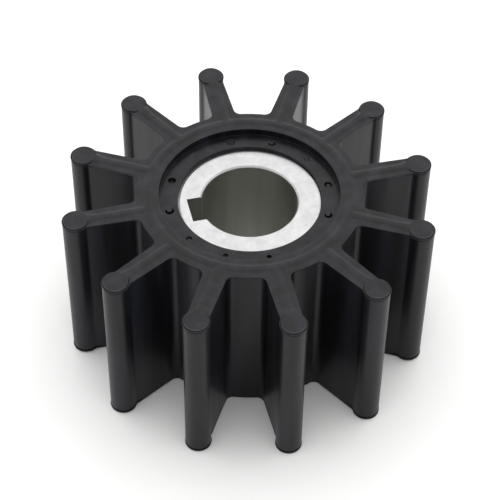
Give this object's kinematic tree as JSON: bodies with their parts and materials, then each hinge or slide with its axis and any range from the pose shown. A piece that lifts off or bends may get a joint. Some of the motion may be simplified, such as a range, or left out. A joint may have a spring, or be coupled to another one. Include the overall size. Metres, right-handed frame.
{
  "type": "pump impeller",
  "caption": "Flexible-vane pump impeller: a moulded rubber hub and straight radial vanes with bulb tips, on a bored and keyed metal insert.",
  "frame": {"origin": "centre of the lower end face, on the shaft axis", "axes": "+Z along the shaft axis towards the upper end face, -X from the axis towards the keyway"},
  "size_m": [0.098, 0.098, 0.0492],
  "materials": {
    "rubber": "moulded, satin black",
    "insert": "stainless steel, turned"
  },
  "bodies": {
    "root": {"rubber_body": "rubber", "hub_insert": "insert"}
  },
  "joints": []
}
